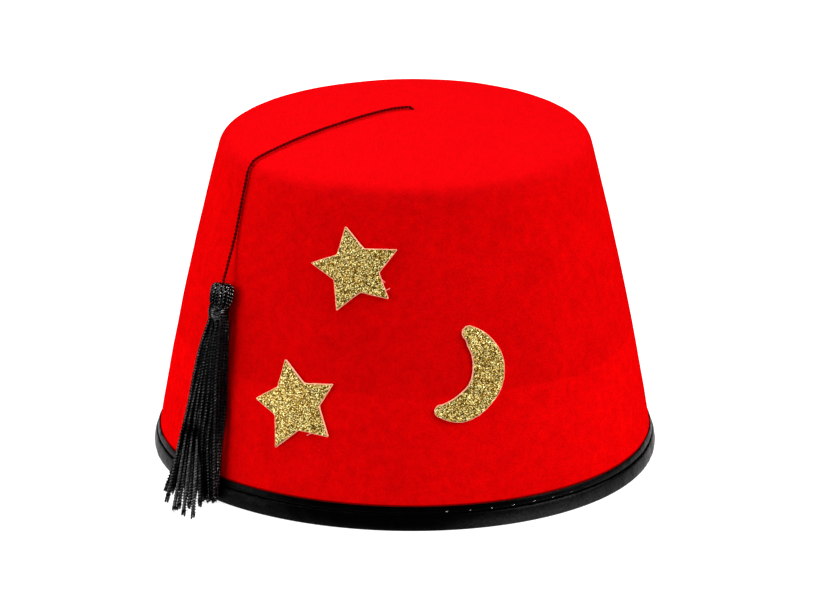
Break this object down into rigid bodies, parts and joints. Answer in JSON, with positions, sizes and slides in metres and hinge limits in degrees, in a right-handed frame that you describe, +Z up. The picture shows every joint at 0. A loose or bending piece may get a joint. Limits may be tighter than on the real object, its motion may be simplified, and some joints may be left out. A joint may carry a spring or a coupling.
{
  "type": "fez hat",
  "caption": "Felt fez: a hollow truncated cone with a low domed top, bound lower edge, glitter stars and crescent, and a tassel on a thin cord.",
  "frame": {"origin": "middle of the footprint, on the surface that the hat stands on", "axes": "+Z up along the crown's axis, -Y towards the front, where the stars and the crescent are"},
  "size_m": [0.196, 0.196, 0.1365],
  "materials": {
    "felt": "pressed bright red felt with short fuzz",
    "satin": "black satin bias tape, soft sheen, sewn on",
    "thread": "twisted black rayon cord with a slight gloss",
    "glitter": "coarse gold glitter on a cream backing sheet"
  },
  "bodies": {
    "root": {"crown": "felt", "binding": "satin", "cord": "thread", "cord_knot": "thread", "tassel": "thread", "tassel_wrap": "thread", "star_upper": "glitter", "star_lower": "glitter", "crescent": "glitter"}
  },
  "joints": []
}
